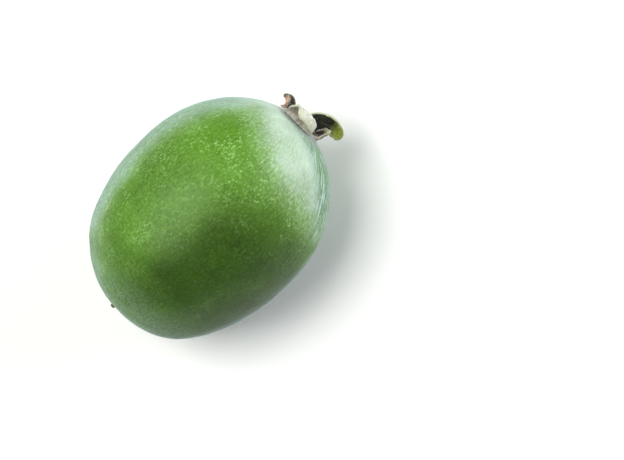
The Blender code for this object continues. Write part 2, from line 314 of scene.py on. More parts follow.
def put(name, points, quads, triangles, material, values=None):
    """An object from vertices in mm of the fruit's frame, smooth, riding on root.

    Its faces are turned outwards by the sign of its volume. values are named vectors per
    vertex that the material reads.
    """
    fans = np.concatenate([triangles, quads[:, :3], quads[:, [0, 2, 3]]])
    a, b, c = (points[fans[:, k]] for k in range(3))
    if np.einsum("ij,ij->", a, np.cross(b, c)) < 0:
        quads, triangles = quads[:, ::-1], triangles[:, ::-1]
    mesh = bpy.data.meshes.new(name)
    mesh.vertices.add(len(points))
    mesh.vertices.foreach_set("co", ((points + placed) * MM).astype(np.float32).ravel())
    corners = np.concatenate([quads.ravel(), triangles.ravel()]).astype(np.int32)
    sizes = np.concatenate([np.full(len(quads), 4), np.full(len(triangles), 3)])
    starts = np.concatenate([[0], np.cumsum(sizes)[:-1]]).astype(np.int32)
    mesh.loops.add(len(corners))
    mesh.loops.foreach_set("vertex_index", corners)
    mesh.polygons.add(len(sizes))
    mesh.polygons.foreach_set("loop_start", starts)
    mesh.update(calc_edges=True)
    mesh.validate()
    for label, vectors in (values or {}).items():
        layer = mesh.attributes.new(label, "FLOAT_VECTOR", "POINT")
        layer.data.foreach_set("vector", vectors.astype(np.float32).ravel())
    mesh.shade_smooth()
    mesh.materials.append(material)
    piece = bpy.data.objects.new(name, mesh)
    bpy.context.scene.collection.objects.link(piece)
    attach(piece, "root")
    return piece


def linear(code, alpha=1.0):
    """An sRGB hex colour as linear red, green, blue and alpha."""
    shades = [int(code[i:i + 2], 16) / 255 for i in (1, 3, 5)]
    return (*[s / 12.92 if s <= 0.04045 else ((s + 0.055) / 1.055) ** 2.4 for s in shades], alpha)


def per(millimetres):
    """The scale at which a pattern on metre coordinates repeats every so many millimetres."""
    return 1000 / millimetres


def add(tree, kind, inputs, output=0, **settings):
    """Adds a node with its settings, and its inputs as values or links. Returns an output.

    Inputs go by name or number. A range node's 1 and 2 are where its input starts and
    ends, and its 3 and 4 what it gives there, 0 and 1 unless stated. A colour mix's 0 is
    the share of its colour 7 over its colour 6, and its output is 2.
    """
    node = tree.nodes.new(kind)
    for name, value in settings.items():
        setattr(node, name, value)
    for socket, value in inputs.items():
        if isinstance(value, bpy.types.NodeSocket):
            tree.links.new(value, node.inputs[socket])
        else:
            node.inputs[socket].default_value = value
    return node.outputs[output]


def parts_of(tree, attribute):
    """The three numbers of a vertex attribute, as the outputs of one node."""
    vector = add(tree, "ShaderNodeAttribute", {}, "Vector", attribute_name=attribute)
    return add(tree, "ShaderNodeSeparateXYZ", {0: vector}).node.outputs


def new_material(name, constants):
    """A Principled material with these constants on its own sockets, its tree and its shader."""
    material = bpy.data.materials.new(name)
    material.use_nodes = True
    shader = material.node_tree.nodes["Principled BSDF"]
    for socket, value in constants.items():
        shader.inputs[socket].default_value = value
    return material, material.node_tree, shader


def rind_material():
    """Feijoa rind: thin, waxy, slightly felted skin.

    The wax gives a soft broad gloss, the felt a pale rim, the oil glands pale flecks, and
    the bloom a whitish veil, thickest towards the calyx, where it is also a painted
    highlight, and in bluish streaks. A pale bluish veil round the outline as seen from the
    camera is painted rim sheen, and one side is darkened with painted shade. Patterns that
    follow the fruit's growth read the meridian attribute, which is in mm, and the others
    read Object coordinates.
    """
    material, tree, shader = new_material("waxy_feijoa_rind", {
        "IOR": 1.45,
        "Specular IOR Level": 0.4,
        "Sheen Weight": 0.45,
        "Sheen Roughness": 0.2,
        "Sheen Tint": linear("#c6e0ff"),
        "Subsurface Weight": 0.06,
        "Subsurface Radius": (0.4, 1.0, 0.25),
        "Subsurface Scale": 1.0 * MM,
    })
    colours = dict(output=2, data_type="RGBA")
    place = add(tree, "ShaderNodeTexCoord", {}, "Object")
    grown = add(tree, "ShaderNodeAttribute", {}, "Vector", attribute_name="meridian")
    short = add(tree, "ShaderNodeMapping", {0: grown, 3: (1, 1, 0.72)})
    long = add(tree, "ShaderNodeMapping", {0: grown, 3: (1, 1, 0.2)})
    to_calyx, to_stem, scar = parts_of(tree, "ends")
    collar, cup, rim_sheen = parts_of(tree, "felted")
    painted_shade_zone, streaky, dotted = parts_of(tree, "sides")

    # Mottling: cloudy patches of 20 mm and 7 mm between two greens.
    patches = add(tree, NOISE, {"Vector": place, "Scale": per(20), "Detail": 2.0})
    clouds = add(tree, NOISE, {"Vector": place, "Scale": per(7), "Detail": 4.0})
    mottled = add(tree, MATHS, {0: clouds, 1: 0.7, 2: patches}, operation="MULTIPLY_ADD")
    shade = add(tree, RANGE, {0: mottled, 1: 0.60, 2: 1.10})
    green = add(tree, MIX, {0: shade, 6: linear("#3a620c"), 7: linear("#558a14")}, **colours)

    # Grain: the skin's fine cells, 0.45 mm across and drawn out along the fruit.
    grain = {"Vector": short, "Scale": 1 / 0.45, "Detail": 3.0, "Roughness": 0.7}
    grain = add(tree, NOISE, grain)
    paler = add(tree, RANGE, {0: grain, 1: 0.40, 2: 0.74, 3: 0.0, 4: 0.5})
    green = add(tree, MIX, {0: paler, 6: green, 7: linear("#76a930")}, **colours)

    # Oil glands: irregular pale flecks of 0.5 mm in clusters of 5 mm, with darker pits
    # between them, and round ones in some of the cells of a 1.7 mm pattern.
    specked = {"Vector": short, "Scale": 1 / 0.5, "Detail": 3.0, "Roughness": 0.6}
    specked = add(tree, NOISE, specked)
    pits = add(tree, RANGE, {0: specked, 1: 0.30, 2: 0.50, 3: 0.74, 4: 1.0})
    fleck = add(tree, RANGE, {0: specked, 1: 0.53, 2: 0.64})
    clusters = {"Vector": place, "Scale": per(5), "Detail": 3.0, "Roughness": 0.6}
    clusters = add(tree, NOISE, clusters)
    clusters = add(tree, RANGE, {0: clusters, 1: 0.42, 2: 0.62, 3: 0.15, 4: 0.80})
    fleck = add(tree, MATHS, {0: fleck, 1: clusters}, operation="MULTIPLY")
    cells = add(tree, "ShaderNodeTexVoronoi", {"Vector": short, "Scale": 1 / 1.7}).node.outputs
    uneven = {0: grain, 1: 0.25, 2: cells["Distance"]}
    uneven = add(tree, MATHS, uneven, operation="MULTIPLY_ADD")
    gland = add(tree, RANGE, {0: uneven, 1: 0.33, 2: 0.20})
    chance = add(tree, "ShaderNodeSeparateColor", {0: cells["Color"]})
    kept = add(tree, RANGE, {0: chance, 1: 0.50, 2: 0.95, 3: 0.0, 4: 1.0})
    gland = add(tree, MATHS, {0: gland, 1: kept}, operation="MULTIPLY")
    fleck = add(tree, MATHS, {0: fleck, 1: gland}, operation="MAXIMUM")
    fleck = add(tree, MATHS, {0: fleck, 1: dotted}, operation="MULTIPLY")
    green = add(tree, MIX, {0: 1.0, 6: green, 7: pits}, blend_type="MULTIPLY", **colours)
    green = add(tree, MIX, {0: fleck, 6: green, 7: linear("#a6d284")}, **colours)

    # Painted shade: one side of the rind is darkened to a deeper green, its edge broken up by
    # the mottling patches.
    painted_shade = {0: patches, 1: 0.5, 2: painted_shade_zone}
    painted_shade = add(tree, MATHS, painted_shade, operation="MULTIPLY_ADD")
    painted_shade = add(tree, RANGE, {0: painted_shade, 1: 0.25, 2: 1.25})
    painted_shade_dimming = add(tree, RANGE, {0: painted_shade, 1: 0.0, 2: 1.0, 3: 1.0, 4: 0.38})
    green = add(tree, MIX, {0: 1.0, 6: green, 7: painted_shade_dimming}, blend_type="MULTIPLY", **colours)

    # Bloom: a veil that thickens towards the calyx, where it is partly a painted highlight,
    # and round the outline as seen from the camera, where it is painted rim sheen, uneven in
    # clouds of 9 mm and in streaks 0.6 mm wide.
    streaks = {"Vector": long, "Scale": 1 / 0.6, "Detail": 4.0, "Roughness": 0.6}
    streaks = add(tree, NOISE, streaks)
    streaks = add(tree, RANGE, {0: streaks, 1: 0.36, 2: 0.72})
    dust = add(tree, NOISE, {"Vector": place, "Scale": per(9), "Detail": 4.0})
    dust = add(tree, RANGE, {0: dust, 1: 0.3, 2: 0.7, 3: 0.6, 4: 1.2})
    # Painted rim sheen, broken up by the mottling.
    rim_sheen_veil = add(tree, MATHS, {0: mottled, 1: 0.8, 2: rim_sheen}, operation="MULTIPLY_ADD")
    rim_sheen_veil = add(tree, RANGE, {0: rim_sheen_veil, 1: 0.80, 2: 1.52})
    veil = add(tree, MATHS, {0: to_calyx, 1: 0.85}, operation="MULTIPLY")
    veil = add(tree, MATHS, {0: to_stem, 1: 0.12, 2: veil}, operation="MULTIPLY_ADD")
    veil = add(tree, MATHS, {0: veil, 1: 0.004}, operation="ADD")
    veil = add(tree, MATHS, {0: rim_sheen_veil, 1: 0.46, 2: veil}, operation="MULTIPLY_ADD")
    drawn = add(tree, MATHS, {0: streaks, 1: 0.16, 2: 0.88}, operation="MULTIPLY_ADD")
    drawn = add(tree, MATHS, {0: streaky, 1: -0.75, 2: drawn}, operation="MULTIPLY_ADD")
    veil = add(tree, MATHS, {0: veil, 1: drawn}, operation="MULTIPLY")
    veil = add(tree, MATHS, {0: veil, 1: dust}, operation="MULTIPLY", use_clamp=True)

    # The veil breaks up into specks of 0.7 mm where it thins out.
    specks = {"Vector": short, "Scale": 1 / 0.7, "Detail": 3.0, "Roughness": 0.7}
    specks = add(tree, NOISE, specks)
    specks = add(tree, RANGE, {0: specks, 1: 0.34, 2: 0.66, 3: -1.0, 4: 1.0})
    bare = add(tree, MATHS, {0: veil, 1: -1.0, 2: 1.0}, operation="MULTIPLY_ADD")
    thin = add(tree, MATHS, {0: bare, 1: veil}, operation="MULTIPLY")
    thin = add(tree, MATHS, {0: thin, 1: bare}, operation="MULTIPLY")
    broken = {0: specks, 1: thin, 2: veil}
    veil = add(tree, MATHS, broken, operation="MULTIPLY_ADD", use_clamp=True)

    # Wisps: brighter strokes 1 mm wide, along the fruit where the bloom is streaky, which
    # takes in part of the painted rim sheen.
    wisps = {"Vector": long, "Scale": 1 / 1.0, "Detail": 3.0, "Roughness": 0.65}
    wisps = add(tree, NOISE, wisps)
    wisps = add(tree, RANGE, {0: wisps, 1: 0.49, 2: 0.62, 3: 0.0, 4: 0.84})
    streaked = add(tree, RANGE, {0: streaky, 1: 0.0, 2: 0.7})
    wisps = add(tree, MATHS, {0: wisps, 1: streaked}, operation="MULTIPLY")
    veil = add(tree, MATHS, {0: veil, 1: wisps}, operation="MAXIMUM")

    # The veil's colour: yellow-green where thin, whitish where dense, and bluish towards
    # the stem, in the painted rim sheen and in streaks.
    dense = add(tree, RANGE, {0: veil, 1: 0.05, 2: 0.52})
    frost = add(tree, MIX, {0: dense, 6: linear("#b2dc90"), 7: linear("#d2e6d6")}, **colours)
    blue = add(tree, MATHS, {0: to_stem, 1: rim_sheen_veil}, operation="MAXIMUM")
    blue = add(tree, MATHS, {0: blue, 1: streaky}, operation="MAXIMUM")
    frost = add(tree, MIX, {0: blue, 6: frost, 7: linear("#c6e1e6")}, **colours)
    colour = add(tree, MIX, {0: veil, 6: green, 7: frost}, **colours)

    # Scar of the stem: tan cork in grains of 0.7 mm.
    cork = {"Vector": place, "Scale": per(0.7), "Detail": 4.0, "Roughness": 0.7}
    cork = add(tree, NOISE, cork)
    cork = add(tree, MIX, {0: cork, 6: linear("#4c3a28"), 7: linear("#a58c68")}, **colours)
    colour = add(tree, MIX, {0: scar, 6: colour, 7: cork}, **colours)

    # Collar: the calyx's felt spreads onto the rind in a ragged edge, in a slate grey that is
    # partly its own colour and partly painted shade round the lobes' feet, and the cup inside
    # it is dry and brown.
    ragged = add(tree, MATHS, {0: streaks, 1: 0.5, 2: -0.25}, operation="MULTIPLY_ADD")
    ragged = add(tree, MATHS, {0: collar, 1: ragged}, operation="ADD")
    ragged = add(tree, RANGE, {0: ragged, 1: 0.15, 2: 0.85}, interpolation_type="SMOOTHSTEP")
    colour = add(tree, MIX, {0: ragged, 6: colour, 7: linear("#8c9894")}, **colours)
    colour = add(tree, MIX, {0: cup, 6: colour, 7: linear("#4a3d2c")}, **colours)
    tree.links.new(colour, shader.inputs["Base Color"])

    rough = add(tree, RANGE, {0: veil, 1: 0.0, 2: 0.6, 3: 0.44, 4: 0.58})
    rough = add(tree, MATHS, {0: grain, 1: 0.12, 2: rough}, operation="MULTIPLY_ADD")
    tree.links.new(rough, shader.inputs["Roughness"])

    # Relief: grain, with flecks half as high and streaks a quarter as high.
    height = add(tree, MATHS, {0: fleck, 1: 0.5, 2: grain}, operation="MULTIPLY_ADD")
    height = add(tree, MATHS, {0: streaks, 1: 0.25, 2: height}, operation="MULTIPLY_ADD")
    relief = {"Strength": 0.5, "Distance": 0.06 * MM, "Height": height}
    tree.links.new(add(tree, "ShaderNodeBump", relief), shader.inputs["Normal"])
    return material


def felt_material(name, outer, inner, margin, tip, tip_from=0.75, fold_shade=None):
    """Calyx felt: dry leaf tissue under a mat of short hairs.

    The mat gives a matt, faintly glowing face, and where it has worn off the dry leaf
    shows as darker patches. Each of outer, inner is a pair of colours, mat and worn.
    The colour given last, if any, is painted shade: it browns the outer face towards its
    fold and past it, under the brim, unevenly with the worn patches.
    """
    material, tree, shader = new_material(name, {
        "IOR": 1.45,
        "Roughness": 0.85,
        "Sheen Weight": 0.35,
        "Sheen Roughness": 0.5,
        "Sheen Tint": linear("#e6e8dc"),
        "Specular IOR Level": 0.25,
    })
    colours = dict(output=2, data_type="RGBA")
    place = add(tree, "ShaderNodeTexCoord", {}, "Object")
    across, along, face = parts_of(tree, "leaf")
    worn = {"Vector": place, "Scale": per(1.6), "Detail": 5.0, "Roughness": 0.65}
    worn = add(tree, NOISE, worn)
    worn = add(tree, RANGE, {0: worn, 1: 0.42, 2: 0.66}, interpolation_type="SMOOTHSTEP")
    faces = [
        add(tree, MIX, {0: worn, 6: linear(mat), 7: linear(leaf)}, **colours)
        for mat, leaf in (outer, inner)
    ]
    # Painted shade: the outer face browns towards its fold and past it, under the brim.
    if fold_shade:
        fold_shading = add(tree, MATHS, {0: worn, 1: 0.12, 2: along}, operation="MULTIPLY_ADD")
        fold_shading = add(tree, RANGE, {0: fold_shading, 1: 0.12, 2: 0.50, 3: 0.0, 4: 0.85})
        faces[0] = add(tree, MIX, {0: fold_shading, 6: faces[0], 7: linear(fold_shade)}, **colours)
    side = add(tree, RANGE, {0: face, 1: -0.25, 2: 0.25}, interpolation_type="SMOOTHSTEP")
    colour = add(tree, MIX, {0: side, 6: faces[0], 7: faces[1]}, **colours)

    # Margin and tip: torn, irregular edges in colours of their own.
    torn = add(tree, NOISE, {"Vector": place, "Scale": per(0.8), "Detail": 4.0, "Roughness": 0.7})
    edge = add(tree, MATHS, {0: across}, operation="ABSOLUTE")
    edge = add(tree, MATHS, {0: torn, 1: 0.30, 2: edge}, operation="MULTIPLY_ADD")
    edge = add(tree, RANGE, {0: edge, 1: 0.98, 2: 1.08}, interpolation_type="SMOOTHSTEP")
    colour = add(tree, MIX, {0: edge, 6: colour, 7: linear(margin)}, **colours)
    end = add(tree, MATHS, {0: torn, 1: 0.25, 2: along}, operation="MULTIPLY_ADD")
    end = add(tree, RANGE, {0: end, 1: tip_from + 0.05, 2: tip_from + 0.27})
    colour = add(tree, MIX, {0: end, 6: colour, 7: linear(tip)}, **colours)

    # Fibres: tufts of the mat's hairs, 0.3 mm across.
    fibres = {"Vector": place, "Scale": per(0.30), "Detail": 4.0, "Roughness": 0.75}
    fibres = add(tree, NOISE, fibres)
    lit = add(tree, RANGE, {0: fibres, 1: 0.30, 2: 0.70, 3: 0.72, 4: 1.22})
    colour = add(tree, MIX, {0: 1.0, 6: colour, 7: lit}, blend_type="MULTIPLY", **colours)
    tree.links.new(colour, shader.inputs["Base Color"])
    height = add(tree, MATHS, {0: worn, 1: -0.4, 2: fibres}, operation="MULTIPLY_ADD")
    relief = {"Strength": 0.8, "Distance": 0.10 * MM, "Height": height}
    tree.links.new(add(tree, "ShaderNodeBump", relief), shader.inputs["Normal"])
    return material


def stalk_material():
    """Dry fruit stalk: weathered woody fibre, which gives brown streaks and a dull face."""
    material, tree, shader = new_material("dry_woody_stalk", {
        "IOR": 1.5, "Roughness": 0.82, "Specular IOR Level": 0.3,
    })
    place = add(tree, "ShaderNodeTexCoord", {}, "Object")
    drawn = add(tree, "ShaderNodeMapping", {0: place, 3: (0.35, 1, 1)})
    fibre = add(tree, NOISE, {"Vector": drawn, "Scale": per(0.35), "Detail": 5.0})
    shade = add(tree, RANGE, {0: fibre, 1: 0.35, 2: 0.68})
    browns = {0: shade, 6: linear("#3c2f22"), 7: linear("#9d8a70")}
    colour = add(tree, MIX, browns, 2, data_type="RGBA")
    tree.links.new(colour, shader.inputs["Base Color"])
    relief = {"Strength": 0.9, "Distance": 0.12 * MM, "Height": fibre}
    tree.links.new(add(tree, "ShaderNodeBump", relief), shader.inputs["Normal"])
    return material


def hair_material():
    """Plant hair: fine, colourless and air filled, so it looks white."""
    return new_material("white_plant_hair", {
        "Base Color": linear("#dfe3da"), "Roughness": 0.6, "Specular IOR Level": 0.3,
    })[0]


def rind_rows():
    """Angles of the rind's rows: even in radius near both ends and even in angle between."""
    edge = 2 * DIMPLE_RADIUS
    stem_end = angle_at(edge * np.arange(DIMPLE_STEPS) / DIMPLE_STEPS, STEM_FULLNESS)
    first = angle_at(edge, STEM_FULLNESS)
    last = np.pi - angle_at(COLLAR_ROWS_FROM, CALYX_FULLNESS)
    flank = np.linspace(first, last, FLANK_STEPS, endpoint=False)
    calyx_radii = COLLAR_ROWS_FROM * (1 - np.arange(COLLAR_STEPS + 1) / COLLAR_STEPS)
    return np.concatenate([stem_end, flank, np.pi - angle_at(calyx_radii, CALYX_FULLNESS)])


def swollen(points, away):
    """Points of the rind moved along their outward directions by its finer swells."""
    for seed, (height, wavelength) in enumerate(RIND_SWELLS):
        points = points + away * (height * waves(points, wavelength, seed))[..., None]
    return points


def rind_zones(angle, x, away):
    """Where the rind's looks change, as three vectors per vertex that its material reads.

    ends holds the calyx end, where the veil is partly bloom and partly painted highlight, the
    stem end and the scar, felted the collar, the cup and the painted rim sheen round the
    outline as seen from the camera, and sides the painted shade, streaks, which take in part
    of the rim sheen, and how plain flecks are. Rim sheen and painted shade thin out towards
    the stem end, and rim sheen does on the far side too. Flecks are faintest in the middle
    of the side that faces the camera.
    """
    at_stem = (angle < np.pi / 2).astype(float)
    at_calyx = (angle > np.pi / 2).astype(float)
    radius = outline_radius(angle)
    share = share_at(x, angle < np.pi / 2)
    painted_shade_facing = away @ unit(np.array(PAINTED_SHADE_SIDE))
    facing = away @ unit(np.array(RIM_SHEEN_AXIS))
    streak_side = away @ unit(np.array(STREAKED_SIDE))

    # The calyx end's veil, partly bloom and partly a painted highlight.
    skewed = share + CALYX_BLOOM_AND_HIGHLIGHT_SKEW * np.clip(painted_shade_facing, -0.5, 1)
    to_calyx = rising(skewed, CALYX_BLOOM_AND_HIGHLIGHT_BY_SHARE)
    to_stem = rising(-share, STEM_BLOOM_BY_SHARE)
    scar = falling(radius, SCAR_BY_RADIUS) * at_stem
    collar = falling(radius, COLLAR_BY_RADIUS) * at_calyx
    cup = falling(radius, CUP_BY_RADIUS) * at_calyx
    # Painted rim sheen: a veil round the outline as seen from the camera, thinner on the far side
    # and towards both ends.
    rim_sheen = falling(facing, RIM_SHEEN_BY_FACING) * (1 - 0.6 * to_stem) * (1 - to_calyx)
    rim_sheen = rim_sheen * (1 - 0.5 * falling(facing, FAR_RIM_SHEEN_BY_FACING))
    # Painted shade: a darker green on one side, which fades towards the calyx and the stem end.
    painted_shade = rising(painted_shade_facing, PAINTED_SHADE_BY_FACING) * falling(share, PAINTED_SHADE_BY_SHARE)
    painted_shade = painted_shade * (1 - 0.75 * to_stem)
    # The bloom on the calyx half breaks into streaks on one side, thinner between them.
    streaked = to_calyx * rising(streak_side, STREAKS_BY_FACING)
    round_scar = 0.38 * falling(radius, SCAR_STREAKS_BY_RADIUS) * at_stem
    streaky = np.maximum(np.maximum(streaked, 0.4 * rim_sheen), round_scar)
    plain = np.maximum(rising(share, FLECKS_BY_SHARE), falling(facing, FLECKS_BY_FACING))
    return {
        "ends": np.stack([to_calyx, to_stem, scar], axis=-1),
        "felted": np.stack([collar, cup, rim_sheen], axis=-1),
        "sides": np.stack([painted_shade, streaky, 0.35 + 0.50 * plain], axis=-1),
    }


def berry(material):
    """The whole berry: the rind's surface, closed at both poles, pressed flat where it rests.

    Its meridian attribute is a point on a cylinder of the fruit's radius: round it by
    azimuth, and along it by the distance travelled over the rind from the stem's pole.
    """
    angle, azimuth = np.meshgrid(
        rind_rows(), 2 * np.pi * np.arange(TURN_STEPS) / TURN_STEPS, indexing="ij"
    )
    away = outward(rind, np.clip(angle, 1e-3, np.pi - 1e-3), azimuth)
    grid = rind(angle, azimuth)
    quiet = smooth_step((np.pi - angle) / SWELLS_FADE)
    grid = grid + (swollen(grid, away) - grid) * quiet[..., None]
    height = grid[..., 2] - rest_height
    grid[..., 2] = rest_height + 0.5 * (height + np.sqrt(height**2 + FLAT_ROUNDING**2))
    profile = np.stack([grid[:, 0, 0], outline_radius(angle[:, 0])])
    travelled = np.cumsum(np.hypot(*np.diff(profile, axis=1, prepend=0)))
    values = rind_zones(angle, grid[..., 0], away)
    values["meridian"] = np.stack([
        RADIUS * np.cos(azimuth),
        RADIUS * np.sin(azimuth),
        np.broadcast_to(travelled[:, None], angle.shape),
    ], axis=-1)
    values = {label: spread(vectors) for label, vectors in values.items()}
    piece = put("feijoa_rind", *closed_surface(grid), material, values)
    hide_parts("fruit_body")


def around(azimuth):
    """Unit vectors outwards and forwards at azimuths, in radians, about +X."""
    zero = np.zeros_like(azimuth)
    outwards = np.stack([zero, -np.cos(azimuth), np.sin(azimuth)], axis=-1)
    forwards = np.stack([zero, np.sin(azimuth), np.cos(azimuth)], axis=-1)
    return outwards, forwards


def folded(lobe, t):
    """How much of its fold a lobe has made a share t along its length."""
    start, end = lobe["fold"]
    return smooth_step((t - start) / (end - start))


def lobe_directions(lobe, t):
    """The heading, sideways and inwards directions of a lobe at shares t of its length."""
    outwards, forwards = around(np.full_like(t, math.radians(lobe["facing"])))
    axis = np.array([1.0, 0, 0])
    lean = np.radians(blend(lobe["lean"], folded(lobe, t)))[..., None]
    sway = np.radians(lobe["sway"] * t)[..., None]
    ahead = axis * np.cos(lean) + outwards * np.sin(lean)
    heading = ahead * np.cos(sway) + forwards * np.sin(sway)
    sideways = forwards * np.cos(sway) - ahead * np.sin(sway)
    inwards = axis * np.sin(lean) - outwards * np.cos(lean)
    return heading, sideways, inwards


def lobe_middle(lobe, across, along):
    """A lobe's middle surface: arcs hollow inwards, carried along its bent spine.

    across runs -1 to 1 over the arc and along 0 to 1 from foot to tip. The lobe reaches
    its full width over its first 0.4, and narrows over its last 0.65 as a superellipse,
    so its tip is round.
    """
    outwards = around(np.full_like(along, math.radians(lobe["azimuth"])))[0]
    point = outwards * lobe["foot"] + np.array([lobe_foot_x, END_SHIFT, 0])
    for i in range(SPINE_STEPS):
        heading = lobe_directions(lobe, (i + 0.5) / SPINE_STEPS * along)[0]
        point = point + heading * (lobe["length"] * along / SPINE_STEPS)[..., None]
    sideways, inwards = lobe_directions(lobe, along)[1:]
    width = blend((lobe["foot_width"], lobe["width"]), smooth_step(along / 0.4))
    outer_part = np.clip((along - 0.35) / 0.65, 0, 1)
    half_width = width / 2 * (1 - outer_part ** lobe["blunt"]) ** (1 / 2)
    cup = np.radians(blend(lobe["cup"], smooth_step(2 * folded(lobe, along))))
    bend = cup * across
    point = point + sideways * (half_width * np.sin(bend) / cup)[..., None]
    return point + inwards * (half_width * (1 - np.cos(bend)) / cup)[..., None]


def hood_middle(hood, across, along):
    """The rolled lobe's middle surface: it rises from an arc of the collar and curls over
    outwards like a brim, shorter towards both ends of the arc."""
    across = np.sin(across * np.pi / 2)
    reach = (1 - np.abs(across) ** hood["roundness"]) ** (1 / hood["roundness"])
    length = hood["end_length"] + hood["length"] * reach * (1 - hood["skew"] * across)
    start, end = hood["curl_span"]
    curl = blend(hood["curl"], smooth_step((across - start) / (end - start)))
    x = np.full_like(along, lobe_foot_x)
    radius = np.full_like(along, LOBE_FOOT_RADIUS)
    step = length * along / SPINE_STEPS
    for i in range(SPINE_STEPS):
        t = (i + 0.5) / SPINE_STEPS * along
        bend = smooth_step((t - hood["fold"]) / (1 - hood["fold"]))
        lean = np.radians(blend((hood["lean"], curl), bend))
        x = x + np.cos(lean) * step
        radius = radius + np.sin(lean) * step
    aside = hood["half_arc"] * across * LOBE_FOOT_RADIUS / radius
    outwards = around(np.radians(hood["azimuth"] + aside))[0]
    return outwards * radius[..., None] + np.stack(
        [x, np.full_like(x, END_SHIFT), np.zeros_like(x)], axis=-1
    )


def lobe_surface(name, middle_of, lobe, material, seed):
    """A calyx lobe: a closed loop carried from foot to tip round its middle surface.

    The loop runs across the inner face and back over the outer face. Its height is half
    the wall times the sine of the loop's angle, so the margins are round and thin, and
    the wall thins towards the tip. Veins and ruffles are added to the middle surface, and
    the outer face flares at the foot. Returns the surface's grid and its middle's normals.
    """
    turn = 2 * np.pi * np.arange(LOBE_COLUMNS) / LOBE_COLUMNS
    t = np.sin(np.linspace(0, np.pi / 2, LOBE_ROWS))
    along, turn = np.meshgrid(t, turn, indexing="ij")
    across, face = np.cos(turn), np.sin(turn)

    def middle(a, s):
        return middle_of(lobe, np.clip(a, -1, 1), np.clip(s, 0, 1))

    step = 2e-3
    inside_a, inside_s = np.clip(across, -0.97, 0.97), np.clip(along, 0.01, 0.985)
    da = middle(inside_a + step, inside_s) - middle(inside_a - step, inside_s)
    ds = middle(inside_a, inside_s + step) - middle(inside_a, inside_s - step)
    normal = unit(np.cross(ds, da))
    outwards = around(np.radians(lobe["azimuth"]))[0]
    normal *= -np.sign(normal[2, LOBE_COLUMNS // 4] @ outwards)
    flat = middle(across, along)
    wall = blend(lobe["wall"], smooth_step(along / 0.7))
    end = np.sqrt(np.clip(1 - along**8, 0, 1)) * smooth_step(along / 0.02)
    ruffles = waves(flat, RUFFLE_WAVELENGTH, seed) * (0.35 + 0.65 * np.abs(across) ** 2)
    fine = FINE_HEIGHT * waves(flat, FINE_WAVELENGTH, seed + 40) * np.abs(face)
    veins = VEIN_HEIGHT * np.cos(across * VEIN_TURNS) * smooth_step(along / 0.2)
    uneven = lobe["ruffle"] * ruffles + fine + veins
    flare = FOOT_FLARE * np.clip(1 - along / FOOT_FLARE_END, 0, 1) ** 2 * np.clip(-face, 0, 1)
    lift = face * wall / 2 * end + uneven * smooth_step(along / 0.15)
    lift = lift - flare * smooth_step(along / 0.02)
    grid = flat + normal * lift[..., None]
    grid[0] = grid[0].mean(axis=0)
    grid[-1] = grid[-1].mean(axis=0)
    leaf = np.stack([across, along, face], axis=-1)
    piece = put(f"{name}_felt", *closed_surface(grid), material, {"leaf": spread(leaf)})
    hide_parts(name)
    return grid, normal


def hairs(name, roots, headings, lengths, width, material):
    """Short tapered hairs: each a three-sided spike from its root along its heading."""
    side = unit(np.cross(headings, np.roll(headings, 1, axis=1) + np.array([0.3, 0.1, -0.2])))
    other = np.cross(headings, side)
    corners = []
    for k in range(3):
        turn = 2 * np.pi * k / 3
        corners.append(roots + (side * math.cos(turn) + other * math.sin(turn)) * (width / 2))
    corners.append(roots + headings * lengths[:, None])
    points = np.stack(corners, axis=1).reshape(-1, 3)
    first = 4 * np.arange(len(roots))[:, None]
    spike = ((0, 1, 3), (1, 2, 3), (2, 0, 3), (2, 1, 0))
    faces = np.concatenate([first + np.array(face) for face in spike])
    piece = put(name, points, np.zeros((0, 4), int), faces, material)


def collar_hairs(material, count=3400, seed=5):
    """The white hairs of the collar: they stand on a band of the rind round the lobes' feet
    and lean outwards over it."""
    dice = np.random.default_rng(seed)
    radius = COLLAR_RADIUS - 2.3 + 4.1 * dice.power(0.8, count) * dice.uniform(0, 1, count)
    azimuth = dice.uniform(0, 2 * np.pi, count)
    angle = np.pi - angle_at(radius, CALYX_FULLNESS)
    away = outward(rind, angle, azimuth)
    along = unit(rind(angle - 0.02, azimuth) - rind(angle, azimuth))
    headings = unit(0.55 * away + 0.75 * along + dice.normal(0, 0.28, (count, 3)))
    lengths = dice.uniform(0.35, 1.0, count)
    roots = rind(angle, azimuth) - away * 0.03
    hairs("calyx_collar_hairs", roots, headings, lengths, 0.045, material)


def stamen_stubs(material, count=STAMEN_COUNT, seed=8):
    """The dry stubs of the stamens: a ring of thin spikes on the wall of the calyx cup,
    which lean inwards a little."""
    dice = np.random.default_rng(seed)
    radius = STAMEN_RING + dice.uniform(-0.3, 0.3, count)
    azimuth = 2 * np.pi * (np.arange(count) + dice.uniform(-0.35, 0.35, count)) / count
    angle = np.pi - angle_at(radius, CALYX_FULLNESS)
    inwards = np.array([1.0, 0, 0]) - 0.25 * around(azimuth)[0]
    headings = unit(inwards + dice.normal(0, 0.12, (count, 3)))
    lengths = dice.uniform(1.2, 2.5, count)
    roots = rind(angle, azimuth) - headings * 0.15
    hairs("stamen_stubs", roots, headings, lengths, 0.3, material)


